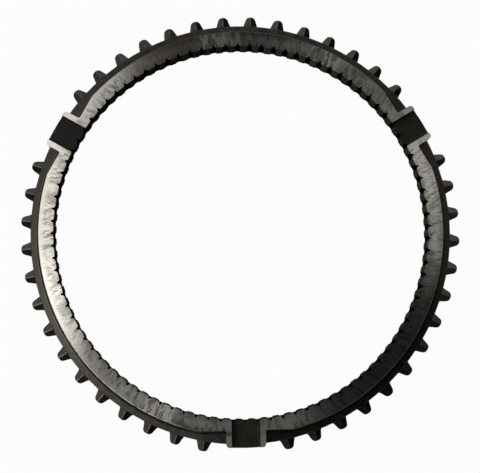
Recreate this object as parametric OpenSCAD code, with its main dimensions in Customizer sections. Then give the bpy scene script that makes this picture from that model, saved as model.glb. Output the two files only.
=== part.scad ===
// Synchronizer ring of a manual gearbox: one forged steel ring with a grooved friction cone
// in its bore, external blocking teeth on a rim, and three lugs that hold the key slots.
// The origin is on the ring's axis in the gear-side face, and +Z points to the hub side.

/* [Ring] */
// Height from the gear-side face to the ground hub-side face
ring_h = 9; // [8:0.1:12]
// Thickness of the rim that carries the teeth
rim_h = 4.3; // [3.8:0.1:5.2]
// Width of the rim's ledge, from the edge of the hub-side face to the tooth roots
ledge_w = 3.1; // [2.6:0.1:3.4]
// Width of the hub-side face, from the friction cone to the edge of the collar
face_w = 4.4; // [3.6:0.1:6]
// Draft of the collar's outer wall, in degrees
collar_draft = 12; // [4:1:14]
// Fillet where the collar meets the rim
collar_fillet = 0.8; // [0.3:0.1:1]
// Size of the broken edges
edge_break = 0.2; // [0.1:0.05:0.4]

/* [Friction cone] */
// Half angle of the cone, in degrees
cone_angle = 6.5; // [5:0.25:8]
// Lead-in chamfer at the cone's large end
lead_in = 0.5; // [0.2:0.1:0.8]
// Oil grooves from one key slot to the next
grooves_per_slot = 32; // [16:1:36]
// Width of a groove at the cone's surface, between its two flanks
groove_w = 1.1; // [0.8:0.1:1.4]
// Width of a groove's flat bottom
groove_bottom_w = 0.3; // [0.2:0.05:0.5]
// Depth of a groove at the hub side
groove_depth = 0.95; // [0.6:0.05:1.1]
// Depth of a groove at the gear side, where it runs out
groove_end_depth = 0.35; // [0.2:0.05:1]
// Radius of the rounded lips of a groove
lip_round = 0.6; // [0.3:0.05:0.7]
// Depth to which the lips are rounded
lip_depth = 0.28; // [0.1:0.02:0.3]

/* [Blocking teeth] */
// Pitch diameter of the tooth raster
pitch_d = 120; // [118:0.5:126]
// Teeth from one key slot to the next
teeth_per_slot = 14; // [10:1:15]
// Places in the tooth raster left empty at each key slot
empty_per_slot = 2; // [2:1:4]
// Tooth thickness on the pitch diameter
tooth_w = 3.35; // [2.8:0.05:3.6]
// Height of a tooth above the pitch diameter
addendum = 1.4; // [1:0.1:1.7]
// Depth of a tooth below the pitch diameter
dedendum = 1.3; // [1.1:0.1:2]
// Pressure angle of the involute flanks, in degrees
pressure_angle = 20; // [18:1:22]
// Fillet at the foot of a tooth
foot_fillet = 1.1; // [0.4:0.1:1.3]
// Radius of the rounded edges of a tooth's tip
tip_round = 1; // [0.3:0.1:1.2]
// Angle between the two blocking faces of a tooth, in degrees
roof_angle = 110; // [90:2:130]
// Width of the flat left along a tooth's ridge
ridge_w = 0.25; // [0.1:0.05:0.5]
// Drop from the rim's broken edge to a tooth's ridge
ridge_drop = 0.1; // [0.1:0.1:0.8]

/* [Key slots] */
// Number of key slots
slot_count = 3; // [2:1:4]
// Width of a key slot
slot_w = 7.7; // [6:0.1:9]
// Depth of a key slot below the hub-side face
slot_depth = 2; // [1:0.1:4]
// Fillet along the floor of a key slot
slot_fillet = 0.8; // [0.2:0.1:0.9]
// Thickness of the lug wall on each side of a key slot
lug_wall = 1.5; // [1.2:0.1:2.2]
// How far a lug stands out past the tooth roots
lug_proud = 0.1; // [0.05:0.05:0.8]
// Radius of a lug's outer corners
lug_corner = 0.9; // [0.4:0.1:1.1]
// Fillet where a lug's side meets the relief flat
lug_fillet = 0.7; // [0.3:0.1:1]
// Draft of a lug's outer face, in degrees
lug_draft = 8; // [0:1:10]
// Depth of the relief flat at each lug, below the edge of the hub-side face
flat_depth = 1.5; // [0.8:0.1:1.7]

/* [Hidden] */

$fn = 180;
// Chords in each small arc of an outline
arc_steps = 4;
// Points along each involute flank
flank_steps = 2;
// How far a cutter runs past the surface that it opens
overcut = 1;
// How deep an added form is rooted in the ring
rooting = 1.2;
// How far a tooth's rounded outline crosses the circle that it blends into
blend = 0.02;
// Stock that a relief flat leaves on the rim's ledge
relief_stock = 0.02;
// Part of a lug's corner that is rounded, in degrees from its side
corner_sweep = 65;
// Direction of the first key slot
first_slot = -90;

slot_pitch = 360 / slot_count;
tooth_pitch = slot_pitch / (teeth_per_slot + empty_per_slot);
groove_pitch = slot_pitch / grooves_per_slot;
groove_angle = atan(tan(cone_angle) - (groove_depth - groove_end_depth) / ring_h);

pitch_r = pitch_d / 2;
root_r = pitch_r - dedendum;
tip_r = pitch_r + addendum;
base_r = pitch_r * cos(pressure_angle);
face_r = root_r - ledge_w;
bore_r = face_r - face_w;
flat_dist = face_r - flat_depth;
flat_edge = edge_break / 2;
lug_r = root_r + lug_proud;
lug_w = slot_w + 2 * lug_wall;
ridge_z = rim_h - edge_break - ridge_drop;

function polar(r, a) = r * [cos(a), sin(a)];

// Points of an arc about c, from angle a0 to angle a1
function arc(c, r, a0, a1) = [for (i = [0:arc_steps]) c + polar(r, a0 + (a1 - a0) * i / arc_steps)];

// An outline's upper half followed by its mirror image below the X axis
function mirrored(points) = concat(points, [for (i = [len(points) - 1:-1:0]) [points[i].x, -points[i].y]]);

// Radius of the friction cone at a height above the gear-side face
function cone_r(z) = bore_r + (ring_h - z) * tan(cone_angle);

// Involute of an angle, in degrees
function involute(a) = tan(a) * 180 / PI - a;

// Pressure angle of the flank at a radius
function flank_angle(r) = acos(base_r / r);

// Half of the angle that a tooth covers at a radius
function half_tooth(r) = tooth_w / pitch_d * 180 / PI + involute(pressure_angle) - involute(flank_angle(r));

// Outline of the collar's wall, which reaches x below its broken edge: from foot_z up to the face, or past it
function collar_wall(x, foot_z, edge, past = 0) =
    let (
        normal = polar(1, collar_draft),
        top = [x, ring_h - edge],
        fillet_z = foot_z + collar_fillet,
        fillet_x = (normal * top + collar_fillet - normal.y * fillet_z) / normal.x
    )
    concat(
        arc([fillet_x, fillet_z], collar_fillet, 270, 180 + collar_draft),
        [top, [x - edge - past, ring_h + past]]
    );

// How far the flank leans from a tooth's middle line at a radius
function lean(r) = flank_angle(r) - half_tooth(r);

// Direction in which a point at centre_r lies a given distance outside the flank's tangent at radius r
function beside_flank(centre_r, r, distance) =
    let (normal = polar(1, 90 - lean(r)))
    asin((normal * polar(r, half_tooth(r)) + distance) / centre_r) - lean(r);

// Arc from the rim up to the flank of a tooth
function foot_points() =
    let (
        centre_r = root_r + foot_fillet - blend,
        turn = beside_flank(centre_r, root_r, foot_fillet)
    )
    arc(polar(centre_r, turn), foot_fillet, 180 + turn, 270 - lean(root_r));

// Arc from the flank of a tooth over to its tip
function tip_points() =
    let (
        centre_r = tip_r - tip_round + blend,
        turn = beside_flank(centre_r, centre_r, -tip_round)
    )
    arc(polar(centre_r, turn), tip_round, 90 - lean(centre_r), turn);

// Upper half of a tooth's outline along +X, from its root to past its tip
function tooth_half() =
    let (
        foot = foot_points(),
        tip = tip_points(),
        start = norm(foot[arc_steps]),
        span = norm(tip[0]) - start,
        flank = [
            for (i = [1:flank_steps])
            let (r = start + span * i / (flank_steps + 1))
            polar(r, half_tooth(r))
        ]
    )
    concat(
        [foot[0] - [rooting, 0]],
        foot,
        flank,
        tip,
        [tip[arc_steps] + [overcut, 0]]
    );

// Upper half of a lug's outline along +X, flared at the relief flat and rounded towards its outer end
function lug_half() =
    let (
        foot = [flat_dist - flat_edge - blend + lug_fillet, lug_w / 2 + lug_fillet],
        centre_y = lug_w / 2 - lug_corner,
        centre = [sqrt(pow(lug_r - lug_corner, 2) - pow(centre_y, 2)), centre_y],
        last = 90 - corner_sweep
    )
    concat(
        [[flat_dist - rooting, foot.y]],
        arc(foot, lug_fillet, 180, 270),
        arc(centre, lug_corner, 90, last),
        [centre + polar(lug_corner + overcut, last)]
    );

// Places its children in turn at each key slot, which lies along +X for them
module at_each_slot() {
    for (i = [0:slot_count - 1])
        rotate(first_slot + i * slot_pitch)
            children();
}

// Extrudes an outline drawn across the radius, with X along the tangent and Y upwards, from r0 to r1
module extrude_outwards(r0, r1) {
    translate([r0, 0, 0])
        rotate([90, 0, 90])
            linear_extrude(height = r1 - r0)
                children();
}

// The turned blank: rim, collar and plain cone
module ring_blank() {
    section = concat(
        [
            [cone_r(0) + lead_in, 0],
            [root_r - edge_break, 0],
            [root_r, edge_break],
            [root_r, rim_h - edge_break],
            [root_r - edge_break, rim_h]
        ],
        collar_wall(face_r, rim_h, edge_break),
        [
            [cone_r(ring_h) + edge_break, ring_h],
            [cone_r(ring_h - edge_break), ring_h - edge_break],
            [cone_r(lead_in), lead_in]
        ]
    );
    rotate_extrude()
        polygon(section);
}

// What the relief flat takes off the collar at one lug
module relief_flat() {
    floor_z = rim_h + relief_stock;
    wall = collar_wall(flat_dist, floor_z, flat_edge, overcut);
    out = root_r + overcut;
    up = ring_h + overcut;
    rotate([90, 0, 0])
        linear_extrude(height = 2 * root_r, center = true)
            polygon(concat(wall, [[out, up], [out, floor_z]]));
}

// One lug, as high as the ring, which leans outwards towards the gear side by its draft
module key_lug() {
    slant_h = ring_h / cos(lug_draft) + overcut;
    intersection() {
        translate([lug_r, 0, ring_h])
            rotate([0, -lug_draft, 0])
                translate([-lug_r, 0, -slant_h])
                    linear_extrude(height = slant_h + overcut)
                        intersection() {
                            polygon(mirrored(lug_half()));
                            circle(r = lug_r);
                        }
        cylinder(h = ring_h, r = tip_r);
    }
}

// What one key slot takes out, from the bore to past the lug
module key_slot() {
    side = slot_w / 2;
    floor_z = ring_h - slot_depth;
    up = ring_h + overcut;
    corner = arc([side - slot_fillet, floor_z + slot_fillet], slot_fillet, 270, 360);
    other = [for (i = [arc_steps:-1:0]) [-corner[i].x, corner[i].y]];
    extrude_outwards(bore_r - overcut, tip_r + overcut)
        polygon(concat(corner, [[side, up], [-side, up]], other));
}

// One blocking tooth: involute flanks under a roof of two blocking faces
module blocking_tooth() {
    side = tooth_w;
    eaves_z = ridge_z - (side - ridge_w / 2) / tan(roof_angle / 2);
    intersection() {
        linear_extrude(height = ridge_z)
            intersection() {
                polygon(mirrored(tooth_half()));
                circle(r = tip_r);
            }
        extrude_outwards(root_r - rooting - overcut, tip_r + overcut)
            polygon([
                [-side, 0],
                [side, 0],
                [side, eaves_z],
                [ridge_w / 2, ridge_z],
                [-ridge_w / 2, ridge_z],
                [-side, eaves_z]
            ]);
    }
}

// The teeth from one key slot to the next
module tooth_row() {
    for (i = [0:teeth_per_slot - 1])
        rotate((empty_per_slot / 2 + 0.5 + i) * tooth_pitch)
            blocking_tooth();
}

// Extrudes an outline drawn at the hub-side edge of the cone, with X into the metal, down along a slope
module extrude_down(slope) {
    slant_h = ring_h / cos(slope) + overcut;
    translate([bore_r, 0, ring_h])
        rotate([0, -slope, 0])
            translate([0, 0, -slant_h])
                linear_extrude(height = slant_h + overcut)
                    children();
}

// What one oil groove takes out: the groove, whose floor runs out, and its rounded lips along the cone
module oil_groove() {
    side = groove_w / 2;
    bottom = groove_bottom_w / 2;
    mouth = side + overcut * (side - bottom) / groove_depth;
    lip = arc([lip_round, side + lip_round], lip_round, 180, 180 + acos(1 - lip_depth / lip_round));
    run_off = 2 * lip[0] - lip[1];
    extrude_down(groove_angle)
        polygon([[-overcut, mouth], [groove_depth, bottom], [groove_depth, -bottom], [-overcut, -mouth]]);
    extrude_down(cone_angle)
        polygon(mirrored(concat([run_off], lip)));
}

// The oil grooves from the middle of one key slot to just before the next
module groove_row() {
    for (i = [0:grooves_per_slot - 1])
        rotate(i * groove_pitch)
            oil_groove();
}

module synchronizer_ring() {
    color("dimgray")
        difference() {
            union() {
                difference() {
                    ring_blank();
                    at_each_slot() relief_flat();
                }
                at_each_slot() {
                    key_lug();
                    tooth_row();
                }
            }
            at_each_slot() {
                key_slot();
                groove_row();
            }
        }
}

synchronizer_ring();
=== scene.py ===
import math

import bmesh
import bpy
from mathutils import Matrix, Vector


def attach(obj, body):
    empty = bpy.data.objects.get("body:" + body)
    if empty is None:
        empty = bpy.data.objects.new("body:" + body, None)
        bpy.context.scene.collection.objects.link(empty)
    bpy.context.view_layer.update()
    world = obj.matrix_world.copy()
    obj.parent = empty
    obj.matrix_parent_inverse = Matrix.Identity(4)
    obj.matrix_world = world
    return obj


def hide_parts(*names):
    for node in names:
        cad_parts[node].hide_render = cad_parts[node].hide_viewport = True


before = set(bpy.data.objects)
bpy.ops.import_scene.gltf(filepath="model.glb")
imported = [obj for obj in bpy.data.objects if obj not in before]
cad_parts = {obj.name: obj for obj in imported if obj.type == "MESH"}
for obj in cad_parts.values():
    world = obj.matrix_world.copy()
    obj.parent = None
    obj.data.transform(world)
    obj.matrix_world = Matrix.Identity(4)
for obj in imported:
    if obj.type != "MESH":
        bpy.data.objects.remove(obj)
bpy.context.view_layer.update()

MM = 0.001

# Heights of the ring's surfaces over its gear-side face, in millimetres
FACE_Z = 9.0
SLOT_FLOOR_Z = 7.0
RIM_Z = 4.3
RIDGE_Z = 4.0

# Radii of the ring's surfaces, in millimetres
BORE_R = 51.2
MID_FACE_R = 53.4
FACE_R = 55.6
RIM_EDGE_R = 57.9
TOOTH_ROOT_R = 58.7

# Radii inside which the oil grooves and the collar's wall lie, in millimetres
GROOVE_LIMIT_R = BORE_R + 3.0
WALL_LIMIT_R = FACE_R + 1.5

# The cone's slope, the depth of the oil grooves' rounded lips and the part of it that has the cone's finish,
# and the key slots' half width and directions, in millimetres and degrees
CONE_SLOPE = math.tan(math.radians(6.5))
LIP_DEPTH = 0.28
LIP_ON_CONE = 0.7 * LIP_DEPTH
SLOT_HALF_W = 3.85
SLOT_DIRECTIONS = (-90, 30, 150)

# How far the face's broken edge reaches down, how far over the ledge the collar's wall starts, and how far
# outside the root circle the blocking faces start, in millimetres
EDGE_H = 0.25
FOOT_MARGIN = 0.05
TOOTH_MARGIN = 0.2

# How far a facet may lie from a surface that it belongs to, in millimetres
TOLERANCE = 0.01

# Upward parts of a facet's normal: of a flat one, and the limits of slopes and of upright ones
FLAT = 0.99
GENTLE_SLOPE = 0.95
STEEP_SLOPE = 0.25
UPRIGHT = 0.6

# Least outward part of a facet's normal in the collar's wall, and least inward part in the cone
WALL_OUTWARDS = 0.3
CONE_INWARDS = 0.2

# How the mesh is cleaned: weld in metres, and the angles of flat and of sharp edges in degrees
WELD = 1e-7
FLAT_ANGLE = 0.2
SHARP_ANGLE = 28

# The camera, in millimetres, degrees and pixels of the 480 x 473 picture
IMAGE_W = 480
IMAGE_H = 473
EYE_DISTANCE = 222.5
TILT_DOWN = 4.75
TILT_LEFT = 1.15
ROLL = 1.15
PIXELS_PER_MM = 3.652
FACE_CENTRE_PX = (241.65, 229.52)
SENSOR_W = 36.0
CLIP_START = 0.01

# Directions from the axis are in degrees, anticlockwise from the right. A mark on the ring reaches so many
# degrees to each side of its direction, and is full in the middle part of that reach.
THIRD = 1 / 3
HALF = 1 / 2

# Where bright steel's colour is painted on the ground face's edge, a painted highlight: direction and reach
EDGE_HIGHLIGHT = (228, 28)

# Where the ground face is scuffed matt in short radial streaks: direction, reach and strength
SCUFFS = ((18.5, 6, 0.15), (63, 6, 0.5), (95.5, 8, 0.2), (244, 6, 0.45), (282, 9, 0.25))

# Times that a scuff's strength is taken for its colour, up to the full colour
SCUFF_COLOUR_GAIN = 3.0

# How far inside the face's edge its outer band has its painted highlight and its painted shade in full, and
# how far inside and outside that edge the rubbing of the lugs starts and is full, in millimetres
HIGHLIGHT_MARGIN = 0.6
SHADE_MARGIN = 0.2
RUB_START = 0.3
RUB_FULL = 0.5

# Shares of the marks in the colour of the ground face, and the factor on its colour at the bore
# The outer band's painted highlight: its share, and how much of the clouds it takes away there
HIGHLIGHT_SHARE = 0.95
CLOUDLESS_SHARE = 0.8
STAIN_SHARE = 0.55
CLOUD_SHARE = 0.72
GAP_SHARE = 0.5
RUB_SHARE = 0.8
BORE_DIMMING = 0.78

# Roughness that the marks add to the ground face
CLOUD_ROUGHNESS = 0.03
SPECK_ROUGHNESS = 0.05
SCUFF_ROUGHNESS = 0.40
RUB_ROUGHNESS = 0.03

# Where the outer band of the ground face is painted lighter on its lit side, a painted highlight: direction,
# reach and the part of the reach that is full
HIGHLIGHT_BAND = (178, 75, 0.6)

# Where that band is painted darker on its shaded sides, a painted shade: direction, reach and strength
SHADE_BANDS = ((91, 35, 0.45), (255, 22, 0.40), (0, 32, 0.25))

# Where the ground face has a brown stain: direction and reach
STAIN = (113, 14)

# Where a coat is painted blacker or paler around the ring, as painted shade and painted light: direction,
# reach and the factor on the colour
SHADED_SIDE = (303, 48, 0.45)
COAT_LIGHT_AND_SHADE = (SHADED_SIDE, (230, 42, 1.55), (142, 48, 0.76), (78, 42, 1.4))
# The friction surface is painted blacker on the left, where it faces away from the light, and paler at the
# upper right: painted shade and painted light
CONE_LIGHT_AND_SHADE = ((150, 60, 0.45), (72, 20, 1.7))
# The broken edge's coat is painted darker on the lower right and at the top, a painted shade
EDGE_SHADE = ((303, 55, 0.3), (85, 55, 0.5))

# Darkest and lightest colour of each coat
RIM_COAT = ((0.086, 0.082, 0.070, 1), (0.120, 0.114, 0.098, 1))
# The walls' coat is painted darker than the rim's, a painted shade on the collar's wall and on the slope down
# to the teeth
SHADED_WALL_COAT = ((0.030, 0.028, 0.023, 1), (0.050, 0.047, 0.039, 1))
EDGE_COAT = ((0.05, 0.047, 0.039, 1), (0.075, 0.071, 0.059, 1))
# The ridges' coat is painted much lighter than the rim's, a painted highlight along the teeth's ridges
RIDGE_HIGHLIGHT_COAT = ((0.18, 0.175, 0.155, 1), (0.32, 0.31, 0.28, 1))
SLOT_COAT = ((0.024, 0.0229, 0.0177, 1), (0.038, 0.0365, 0.0288, 1))
CONE_COAT = ((0.056, 0.057, 0.043, 1), (0.092, 0.094, 0.071, 1))
# The grooves' coat is painted near black, a painted shade in the oil grooves
SHADED_GROOVE_COAT = ((0.005, 0.005, 0.004, 1), (0.010, 0.010, 0.008, 1))

# Colours of the ground face, of its marks and of the painted highlight on its edge, and the white of the
# floor's glow
WARM_STEEL = (0.91, 0.86, 0.80, 1)
COOL_STEEL = (0.85, 0.855, 0.785, 1)
STROKE_STEEL = (0.35, 0.335, 0.315, 1)
STAINED_STEEL = (0.70, 0.56, 0.46, 1)
CLOUDED_STEEL = (0.38, 0.375, 0.34, 1)
SCUFF_STEEL = (0.97, 0.95, 0.89, 1)
SCUFF_GAP_STEEL = (0.40, 0.38, 0.35, 1)
RUBBED_STEEL = (0.95, 0.94, 0.90, 1)
HIGHLIGHT_STEEL = (0.68, 0.64, 0.60, 1)
WHITE = (1, 1, 1, 1)

# The floor: its profile as radii and heights, the number of its sides and its drop below the ring, in metres,
# then its colour and the share of white in what the camera sees of it
FLOOR_PROFILE = ((3.0, 0.0), (4.0, 0.02), (5.0, 0.08), (6.0, 0.20), (7.0, 0.42))
FLOOR_SIDES = 96
FLOOR_DROP = 0.00003
FLOOR_COLOUR = (0.62, 0.62, 0.61, 1)
FLOOR_WHITENESS = 0.97

# The studio's walls: direction in degrees, reach that way from where the wall starts to where it is full,
# and radiance beside the wall and in it
PALE_WALL = (140, (0.1, 0.6), (0.03, 0.62))
FRONT_WALL = (265, (0.55, 0.9), (0.0, 0.25))

# The ceiling's radiance, and the heights of a sky direction between which the walls give way to it
CEILING = 0.012
WALL_TOP = (0.22, 0.5)

# Least height of a sky direction that is divided by
LEAST_HEIGHT = 0.02

# Tints of the studio's dim and bright light, and the radiances between which one gives way to the other
DIM_TINT = (0.99, 1.0, 0.965, 1)
BRIGHT_TINT = (1.0, 0.965, 0.938, 1)
TINT_SPAN = (0.3, 1.0)

# Ways in the sky over the ring, as x and y at unit height, and edges that several light cards share.
# An edge is a way, the limit of a card's reach that way, and how softly the card ends there.
RIGHT = (1.0, 0.0)
LEFT = (-1.0, 0.0)
BACK = (0.0, 1.0)
FRONT = (0.0, -1.0)
FAR_LEFT = (LEFT, 1.5, 0.4)
FAR_RIGHT = (RIGHT, 0.45, 0.1)
FAR_FRONT = (FRONT, 0.6, 0.2)
FAR_BACK = (BACK, 0.6, 0.2)
KEY_FRONT = ((0.8, -1.0), -0.09, 0.06)
KEY_RIGHT_WAY = (1.0, -0.15)

# The soft light cards, as radiance and edges, each named by the part of the ground face that mirrors it
CARDS = (
    # Brightest part of the left
    (1.50, ((KEY_RIGHT_WAY, -0.170, 0.03), KEY_FRONT, (BACK, 0.07, 0.06), FAR_LEFT)),
    # Left and upper left
    (1.06, ((KEY_RIGHT_WAY, -0.164, 0.022), KEY_FRONT, ((0.6, 1.0), 0.2, 0.35), FAR_LEFT)),
    # Lower left
    (0.22, ((LEFT, 0.25, 0.05), (RIGHT, -0.065, 0.02), (BACK, -0.07, 0.03), FAR_FRONT)),
    # Lower left to just right of the front slot
    (0.115, ((LEFT, 0.25, 0.05), (RIGHT, 0.10, 0.02), (BACK, -0.07, 0.03), FAR_FRONT)),
    # Right
    (0.28, ((LEFT, -0.16, 0.05), (FRONT, -0.035, 0.03), (BACK, 0.235, 0.06), FAR_RIGHT)),
    # Lit patch on the right
    (0.90, ((LEFT, -0.19, 0.03), (FRONT, -0.139, 0.01), (BACK, 0.170, 0.01), FAR_RIGHT)),
    # Upper right
    (0.12, ((LEFT, -0.08, 0.06), (FRONT, -0.17, 0.05), FAR_BACK, FAR_RIGHT)),
    # Top
    (0.045, ((LEFT, 0.20, 0.10), (FRONT, -0.17, 0.05), FAR_BACK, FAR_RIGHT)),
    # No part of the face: it lights the slopes that lean to the back
    (0.45, ((FRONT, -0.9, 0.3), ((1.0, -1.2), 0.0, 0.5))),
)


class Graph:
    """Short calls for building a node tree."""

    # A mix node's sockets for its share and its colours
    MIX_SHARE = 0
    MIX_A = 6
    MIX_B = 7
    MIX_RESULT = 2

    def __init__(self, tree):
        self.tree = tree
        tree.nodes.clear()

    def add(self, kind, inputs=None, **settings):
        """Adds a node; inputs maps a socket's name or index to a value, or to the output that feeds it."""
        node = self.tree.nodes.new(kind)
        for name, value in settings.items():
            setattr(node, name, value)
        for name, value in (inputs or {}).items():
            self.feed(node.inputs[name], value)
        return node

    def feed(self, socket, value):
        """Sets a socket to a value, or links it to the output that feeds it."""
        if isinstance(value, bpy.types.NodeSocket):
            self.tree.links.new(value, socket)
        else:
            socket.default_value = value

    def math(self, operation, a, b):
        return self.add("ShaderNodeMath", {0: a, 1: b}, operation=operation).outputs[0]

    def plus(self, a, b):
        return self.math("ADD", a, b)

    def times(self, a, b):
        return self.math("MULTIPLY", a, b)

    def most(self, a, b):
        return self.math("MAXIMUM", a, b)

    def rest(self, share):
        """What that share leaves of the whole."""
        return self.math("SUBTRACT", 1.0, share)

    def mix(self, share, a, b):
        """Colour a, with that share of colour b."""
        inputs = {self.MIX_SHARE: share, self.MIX_A: a, self.MIX_B: b}
        return self.add("ShaderNodeMix", inputs, data_type="RGBA").outputs[self.MIX_RESULT]

    def ramp(self, value, low, high, to_low=0.0, to_high=1.0):
        """Value carried smoothly from low..high over to to_low..to_high."""
        node = self.add(
            "ShaderNodeMapRange",
            {"Value": value, "From Min": low, "From Max": high, "To Min": to_low, "To Max": to_high},
            interpolation_type="SMOOTHSTEP",
        )
        return node.outputs[0]

    def noise(self, vector, scale, detail, roughness):
        node = self.add(
            "ShaderNodeTexNoise",
            {"Vector": vector, "Scale": scale, "Detail": detail, "Roughness": roughness},
        )
        return node.outputs[0]

    def scale(self, vector, factor):
        return self.add("ShaderNodeVectorMath", {0: vector, "Scale": factor}, operation="SCALE").outputs[0]

    def combine(self, x, y, z):
        return self.add("ShaderNodeCombineXYZ", {0: x, 1: y, 2: z}).outputs[0]

    def split(self, vector):
        return self.add("ShaderNodeSeparateXYZ", {0: vector}).outputs

    def position(self):
        """Place on the ring in millimetres."""
        return self.scale(self.add("ShaderNodeTexCoord").outputs["Object"], 1 / MM)

    def flat_radius(self, place):
        """The place without its height, and its distance from the axis."""
        x, y, _ = self.split(place)
        flat = self.combine(x, y, 0.0)
        return flat, self.add("ShaderNodeVectorMath", {0: flat}, operation="LENGTH").outputs["Value"]

    def bump(self, height, strength, distance_mm):
        node = self.add(
            "ShaderNodeBump", {"Height": height, "Strength": strength, "Distance": distance_mm * MM}
        )
        return node.outputs[0]

    def surface(self, **sockets):
        """Ends the tree in one principled shader, whose sockets are named with underscores for spaces."""
        shader = self.add("ShaderNodeBsdfPrincipled")
        for name, value in sockets.items():
            self.feed(shader.inputs[name.replace("_", " ")], value)
        self.add("ShaderNodeOutputMaterial", {0: shader.outputs[0]})


def material(name):
    """A new material, and the graph of its empty node tree."""
    made = bpy.data.materials.new(name)
    made.use_nodes = True
    return made, Graph(made.node_tree)


def way(degrees):
    """The x and y of a direction from the axis."""
    return math.cos(math.radians(degrees)), math.sin(math.radians(degrees))


def lay_strokes(g, place, lean, across, along):
    """Noise drawn out across the ring's band, in strokes that lean off the radius by that slope.

    The noise changes by across per millimetre around the ring, and by along per millimetre of radius.
    """
    flat, radius = g.flat_radius(place)
    angle = g.times(g.math("SUBTRACT", radius, MID_FACE_R), lean / MID_FACE_R)
    rotated = g.add("ShaderNodeVectorRotate", {"Vector": flat, "Angle": angle}, rotation_type="Z_AXIS")
    unit = g.add("ShaderNodeVectorMath", {0: rotated.outputs[0]}, operation="NORMALIZE").outputs[0]
    x, y, _ = g.split(unit)
    spread = MID_FACE_R * across
    vector = g.combine(g.times(x, spread), g.times(y, spread), g.times(radius, along))
    return g.noise(vector, scale=1.0, detail=3.0, roughness=0.6)


def towards(g, place, direction, reach, core):
    """Share of a mark around one direction, which ends at its reach and is full in that part of the reach."""
    flat, radius = g.flat_radius(place)
    ahead = g.add("ShaderNodeVectorMath", {0: flat, 1: (*way(direction), 0)}, operation="DOT_PRODUCT")
    ends = math.cos(math.radians(reach))
    full = math.cos(math.radians(reach * core))
    return g.ramp(g.math("DIVIDE", ahead.outputs["Value"], radius), ends, full)


def strongest(g, place, marks, core):
    """The greatest strength there of marks, which are directions, reaches and strengths."""
    found = 0.0
    for direction, reach, strength in marks:
        found = g.most(g.times(towards(g, place, direction, reach, core), strength), found)
    return found


def paint_light_and_shade(g, place, colour, sides):
    """That colour of a coat, painted blacker or paler towards each of those sides, as painted shade and
    painted light.
    """
    for direction, reach, factor in sides:
        share = towards(g, place, direction, reach, THIRD)
        colour = g.scale(colour, g.plus(g.times(share, factor - 1.0), 1.0))
    return colour


def ground_steel():
    """The bright hub-side face: grinding strokes across the band, clouded patches, scuffs and rubbed lugs,
    with a painted highlight and painted shade on its outer band.
    """
    made, g = material("ground_steel")
    place = g.position()
    _, radius = g.flat_radius(place)

    # Strokes that lean two ways, on an outer band with a painted highlight on one side and painted shade on
    # others
    coarse = lay_strokes(g, place, lean=-0.35, across=1.1, along=0.22)
    fine = lay_strokes(g, place, lean=0.25, across=2.2, along=0.30)
    strokes = g.plus(g.times(coarse, 0.6), g.times(fine, 0.4))
    # The outer band on its lit side, where the painted highlight goes
    outer = g.times(g.ramp(radius, MID_FACE_R, FACE_R - HIGHLIGHT_MARGIN), towards(g, place, *HIGHLIGHT_BAND))
    clean_and_highlight = g.most(g.ramp(strokes, 0.42, 0.50), g.times(outer, HIGHLIGHT_SHARE))
    # The outer band painted darker on its shaded sides, a painted shade
    painted_shade = strongest(g, place, SHADE_BANDS, THIRD)
    painted_shade = g.times(painted_shade, g.ramp(radius, MID_FACE_R, FACE_R - SHADE_MARGIN))

    # Clouds, which the band's painted highlight has fewer of, patches of two hues, and specks
    cloud = g.ramp(g.noise(place, scale=0.22, detail=3.0, roughness=0.65), 0.40, 0.64)
    cloud = g.times(cloud, g.rest(g.times(outer, CLOUDLESS_SHARE)))
    hue = g.ramp(g.noise(place, scale=0.13, detail=1.0, roughness=0.5), 0.40, 0.60)
    speck = g.ramp(g.noise(place, scale=1.7, detail=2.0, roughness=0.6), 0.66, 0.74)

    # Scuffs with bright streaks and dark gaps, the stain, and the lugs, which are rubbed
    streaks = g.ramp(lay_strokes(g, place, lean=0.05, across=0.8, along=0.25), 0.42, 0.58)
    scuffed = strongest(g, place, SCUFFS, HALF)
    patch = g.math("MINIMUM", g.times(scuffed, SCUFF_COLOUR_GAIN), 1.0)
    gaps = g.times(patch, g.rest(streaks))
    stained = towards(g, place, *STAIN, THIRD)
    rubbed = g.ramp(radius, FACE_R - RUB_START, FACE_R + RUB_FULL)

    steel = g.mix(clean_and_highlight, STROKE_STEEL, g.mix(hue, WARM_STEEL, COOL_STEEL))
    steel = g.mix(g.times(stained, STAIN_SHARE), steel, STAINED_STEEL)
    steel = g.mix(g.times(cloud, CLOUD_SHARE), steel, CLOUDED_STEEL)
    steel = g.scale(steel, g.ramp(radius, BORE_R, MID_FACE_R, BORE_DIMMING, 1.0))
    # Painted shade on the outer band
    steel = g.scale(steel, g.rest(painted_shade))
    steel = g.mix(g.times(gaps, GAP_SHARE), steel, SCUFF_GAP_STEEL)
    steel = g.mix(g.times(patch, streaks), steel, SCUFF_STEEL)
    steel = g.mix(g.times(rubbed, RUB_SHARE), steel, RUBBED_STEEL)

    rough = g.ramp(strokes, 0.3, 0.7, 0.125, 0.095)
    rough = g.plus(rough, g.times(cloud, CLOUD_ROUGHNESS))
    rough = g.plus(rough, g.times(speck, SPECK_ROUGHNESS))
    rough = g.plus(rough, g.times(g.times(scuffed, streaks), SCUFF_ROUGHNESS))
    rough = g.plus(rough, g.times(rubbed, RUB_ROUGHNESS))
    relief = g.bump(strokes, strength=0.15, distance_mm=0.03)
    g.surface(Base_Color=steel, Metallic=1.0, Roughness=rough, Normal=relief)
    return made


def mottle(g, place):
    """Cloudy unevenness with a fine grain on it, and the grain alone."""
    cloud = g.noise(place, scale=0.5, detail=4.0, roughness=0.6)
    grain = g.noise(place, scale=3.0, detail=2.0, roughness=0.55)
    return g.plus(g.times(cloud, 0.65), g.times(grain, 0.35)), grain


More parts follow.
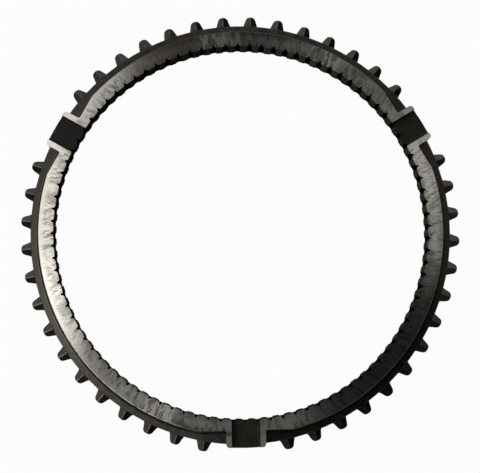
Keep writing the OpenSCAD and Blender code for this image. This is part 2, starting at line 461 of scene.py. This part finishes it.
def coat_colour(g, place, mottled, colours, sides):
    """A coat's colour between its darkest and its lightest, with painted light and shade around the ring."""
    return paint_light_and_shade(g, place, g.mix(g.ramp(mottled, 0.36, 0.64), *colours), sides)


def dark_coat(name, colours, roughness, sides=COAT_LIGHT_AND_SHADE):
    """A thin dark phosphate coat on steel, varying a little in colour, gloss and height, with painted light
    and shade around the ring.
    """
    made, g = material(name)
    place = g.position()
    mottled, grain = mottle(g, place)
    colour = coat_colour(g, place, mottled, colours, sides)
    rough = g.ramp(mottled, 0.3, 0.7, roughness - 0.05, roughness + 0.05)
    relief = g.bump(grain, strength=0.25, distance_mm=0.02)
    g.surface(Base_Color=colour, Metallic=1.0, Roughness=rough, Normal=relief)
    return made


def highlit_edge():
    """The broken edge of the ground face: coated, painted darker on some sides as painted shade, and painted
    bright steel on one side of the ring as a painted highlight.
    """
    made, g = material("highlit_edge")
    place = g.position()
    _, radius = g.flat_radius(place)
    mottled, grain = mottle(g, place)
    coat = coat_colour(g, place, mottled, EDGE_COAT, EDGE_SHADE)
    outer = g.ramp(radius, MID_FACE_R - 0.5, MID_FACE_R + 0.5)
    patchy = g.ramp(g.noise(place, scale=0.9, detail=3.0, roughness=0.6), 0.35, 0.55)
    # Bright steel painted on the lower-left edge, a painted highlight
    painted_highlight = g.times(g.times(towards(g, place, *EDGE_HIGHLIGHT, HALF), outer), patchy)
    colour = g.mix(painted_highlight, coat, HIGHLIGHT_STEEL)
    relief = g.bump(grain, strength=0.25, distance_mm=0.02)
    g.surface(Base_Color=colour, Metallic=1.0, Roughness=0.40, Normal=relief)
    return made


def dull_coat(name, colours, roughness, specular, sides=()):
    """The coat where it is matt and holds oil, with faint lines around the ring from turning."""
    made, g = material(name)
    place = g.position()
    mottled, grain = mottle(g, place)
    colour = coat_colour(g, place, mottled, colours, sides)
    x, y, z = g.split(place)
    drawn_out = g.combine(g.times(x, 0.05), g.times(y, 0.05), z)
    lines = g.noise(drawn_out, scale=6.0, detail=2.0, roughness=0.6)
    rough = g.ramp(lines, 0.3, 0.7, roughness - 0.06, roughness + 0.06)
    relief = g.bump(g.plus(g.times(grain, 0.5), g.times(lines, 0.5)), strength=0.3, distance_mm=0.02)
    g.surface(Base_Color=colour, Roughness=rough, Specular_IOR_Level=specular, Normal=relief)
    return made


def finishes():
    """The ring's finishes, by the names that region gives."""
    return {
        # The rim's coat carries painted light and shade around the ring
        "coat": dark_coat("dark_coat", RIM_COAT, roughness=0.31),
        # The teeth's coat is painted blacker on the lower right, a painted shade
        "tooth": dark_coat("tooth_coat", RIM_COAT, roughness=0.23, sides=(SHADED_SIDE,)),
        # The walls carry painted shade
        "wall": dark_coat("shaded_wall_coat", SHADED_WALL_COAT, roughness=0.45),
        "ground": ground_steel(),
        # The broken edge carries painted shade and a painted highlight
        "edge": highlit_edge(),
        # The teeth's ridges carry a painted highlight
        "ridge": dark_coat("highlit_ridge", RIDGE_HIGHLIGHT_COAT, roughness=0.36),
        "slot": dull_coat("slot_coat", SLOT_COAT, roughness=0.5, specular=0.25),
        # The friction surface carries painted shade on the left and painted light at the upper right
        "cone": dull_coat("friction_surface", CONE_COAT, roughness=0.55, specular=0.0, sides=CONE_LIGHT_AND_SHADE),
        # The oil grooves carry painted shade
        "groove": dull_coat("shaded_groove_coat", SHADED_GROOVE_COAT, roughness=0.6, specular=0.0),
    }


def in_key_slot(centre):
    """Whether a place lies between the side walls of a key slot."""
    for direction in SLOT_DIRECTIONS:
        ahead_x, ahead_y = way(direction)
        ahead = centre.x * ahead_x + centre.y * ahead_y
        aside = centre.y * ahead_x - centre.x * ahead_y
        if ahead > 0 and abs(aside) < SLOT_HALF_W + TOLERANCE:
            return True
    return False


def region(polygon):
    """Name of the finish that a facet of the ring has, by where it lies and faces."""
    centre = polygon.center / MM
    radius = math.hypot(centre.x, centre.y)
    upwards = polygon.normal.z
    outwards = (polygon.normal.x * centre.x + polygon.normal.y * centre.y) / radius
    sloping = STEEP_SLOPE < upwards < GENTLE_SLOPE
    if SLOT_FLOOR_Z - TOLERANCE < centre.z < FACE_Z - TOLERANCE and in_key_slot(centre):
        return "slot"
    if centre.z > FACE_Z - TOLERANCE and upwards > FLAT:
        return "ground"
    if centre.z > FACE_Z - EDGE_H and upwards > STEEP_SLOPE:
        return "edge"
    if abs(centre.z - RIDGE_Z) < TOLERANCE and upwards > FLAT:
        return "ridge"
    if radius > TOOTH_ROOT_R + TOOTH_MARGIN and sloping and centre.z < RIDGE_Z:
        return "tooth"
    if radius > RIM_EDGE_R and sloping and RIDGE_Z < centre.z < RIM_Z:
        return "wall"
    if radius < WALL_LIMIT_R and centre.z > RIM_Z + FOOT_MARGIN and outwards > WALL_OUTWARDS:
        return "wall"
    if outwards < -CONE_INWARDS and upwards < UPRIGHT:
        cone_r = BORE_R + (FACE_Z - centre.z) * CONE_SLOPE
        return "groove" if radius > cone_r + LIP_ON_CONE else "cone"
    if radius < GROOVE_LIMIT_R and abs(outwards) <= CONE_INWARDS and abs(upwards) < UPRIGHT:
        return "groove"
    return "coat"


def ring_mesh(node):
    """The CAD node's own form, welded, with flat facets joined, and without its imported normals."""
    mesh = node.data.copy()
    mesh.name = "ring"
    mesh.materials.clear()
    if "custom_normal" in mesh.attributes:
        mesh.attributes.remove(mesh.attributes["custom_normal"])
    bm = bmesh.new()
    bm.from_mesh(mesh)
    bmesh.ops.remove_doubles(bm, verts=bm.verts, dist=WELD)
    bmesh.ops.dissolve_limit(bm, angle_limit=math.radians(FLAT_ANGLE), verts=bm.verts, edges=bm.edges)
    bm.to_mesh(mesh)
    bm.free()
    return mesh


def ring_piece():
    """The dressed ring, with a finish on each region and even shading."""
    mesh = ring_mesh(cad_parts["synchronizer_ring"])
    made = finishes()
    names = list(made)
    for name in names:
        mesh.materials.append(made[name])
    for polygon in mesh.polygons:
        polygon.use_smooth = True
        polygon.material_index = names.index(region(polygon))
    mesh.set_sharp_from_angle(angle=math.radians(SHARP_ANGLE))
    piece = bpy.data.objects.new("ring", mesh)
    bpy.context.scene.collection.objects.link(piece)
    even = piece.modifiers.new("even_shading", "WEIGHTED_NORMAL")
    even.keep_sharp = True
    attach(piece, "root")
    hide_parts("synchronizer_ring")


def background_share(g):
    """The floor's whiteness for rays of the camera, of gloss and of glass, and none for light on things."""
    path = g.add("ShaderNodeLightPath").outputs
    mirrored = g.most(path["Is Glossy Ray"], path["Is Transmission Ray"])
    return g.times(g.most(path["Is Camera Ray"], mirrored), FLOOR_WHITENESS)


def floor_mesh():
    """A disc that curves up a little far from the ring."""
    bm = bmesh.new()
    rings = []
    for radius, height in FLOOR_PROFILE:
        turns = (math.tau * i / FLOOR_SIDES for i in range(FLOOR_SIDES))
        rings.append([bm.verts.new((radius * math.cos(a), radius * math.sin(a), height)) for a in turns])
    bm.faces.new(rings[0])
    for inner, outer in zip(rings, rings[1:]):
        for i in range(FLOOR_SIDES):
            j = (i + 1) % FLOOR_SIDES
            bm.faces.new((inner[i], outer[i], outer[j], inner[j]))
    mesh = bpy.data.meshes.new("floor")
    bm.to_mesh(mesh)
    bm.free()
    return mesh


def floor():
    """A plain white floor that keeps the ring's shadow."""
    made, g = material("white_floor")
    diffuse = g.add("ShaderNodeBsdfDiffuse", {"Color": FLOOR_COLOUR}).outputs[0]
    glow = g.add("ShaderNodeEmission", {"Color": WHITE, "Strength": 1.0}).outputs[0]
    both = g.add("ShaderNodeMixShader", {0: background_share(g), 1: diffuse, 2: glow}).outputs[0]
    g.add("ShaderNodeOutputMaterial", {0: both})
    mesh = floor_mesh()
    mesh.materials.append(made)
    piece = bpy.data.objects.new("floor", mesh)
    piece.location.z = -FLOOR_DROP
    bpy.context.scene.collection.objects.link(piece)


def reach_that_way(g, x, y, way_x, way_y):
    """How far the sky place x, y lies that way."""
    return g.plus(g.times(x, way_x), g.times(y, way_y))


def wall(g, x, y, direction, start, radiances):
    """Radiance of the sky with a wall in that direction."""
    return g.ramp(reach_that_way(g, x, y, *way(direction)), *start, *radiances)


def surroundings():
    """A studio with pale walls low down, a dark ceiling, and soft cards of light over the ring."""
    world = bpy.data.worlds.new("studio")
    world.use_nodes = True
    bpy.context.scene.world = world
    g = Graph(world.node_tree)
    x, y, z = g.split(g.add("ShaderNodeTexCoord").outputs["Generated"])

    walls = g.most(wall(g, x, y, *PALE_WALL), wall(g, x, y, *FRONT_WALL))
    light = g.ramp(z, *WALL_TOP, walls, CEILING)

    height = g.most(z, LEAST_HEIGHT)
    over_x = g.math("DIVIDE", x, height)
    over_y = g.math("DIVIDE", y, height)
    for radiance, edges in CARDS:
        card = radiance
        for edge_way, limit, softness in edges:
            reach = reach_that_way(g, over_x, over_y, *edge_way)
            card = g.times(g.ramp(reach, limit - softness, limit + softness, 1.0, 0.0), card)
        light = g.most(light, card)

    tint = g.mix(g.ramp(light, *TINT_SPAN), DIM_TINT, BRIGHT_TINT)
    sky = g.add("ShaderNodeBackground", {"Color": tint, "Strength": light}).outputs[0]
    g.add("ShaderNodeOutputWorld", {0: sky})


def camera():
    """The photograph's camera: its eye hangs near above the ring and leans a little to the front and left."""
    data = bpy.data.cameras.new("camera")
    data.sensor_width = SENSOR_W
    data.lens = PIXELS_PER_MM * EYE_DISTANCE / IMAGE_W * SENSOR_W
    data.shift_x = (IMAGE_W / 2 - FACE_CENTRE_PX[0]) / IMAGE_W
    data.shift_y = (FACE_CENTRE_PX[1] - IMAGE_H / 2) / IMAGE_W
    data.clip_start = CLIP_START
    tilt = Matrix.Rotation(math.radians(-TILT_DOWN), 3, "X")
    side = Matrix.Rotation(math.radians(TILT_LEFT), 3, "Y")
    roll = Matrix.Rotation(math.radians(ROLL), 3, "Z")
    from_camera = (side @ tilt @ roll).transposed()
    place = (Vector((0, 0, FACE_Z)) + from_camera @ Vector((0, 0, EYE_DISTANCE))) * MM
    eye = bpy.data.objects.new("camera", data)
    eye.matrix_world = Matrix.Translation(place) @ from_camera.to_4x4()
    bpy.context.scene.collection.objects.link(eye)
    bpy.context.scene.camera = eye


ring_piece()
floor()
surroundings()
camera()
bpy.context.scene.view_settings.view_transform = "Standard"
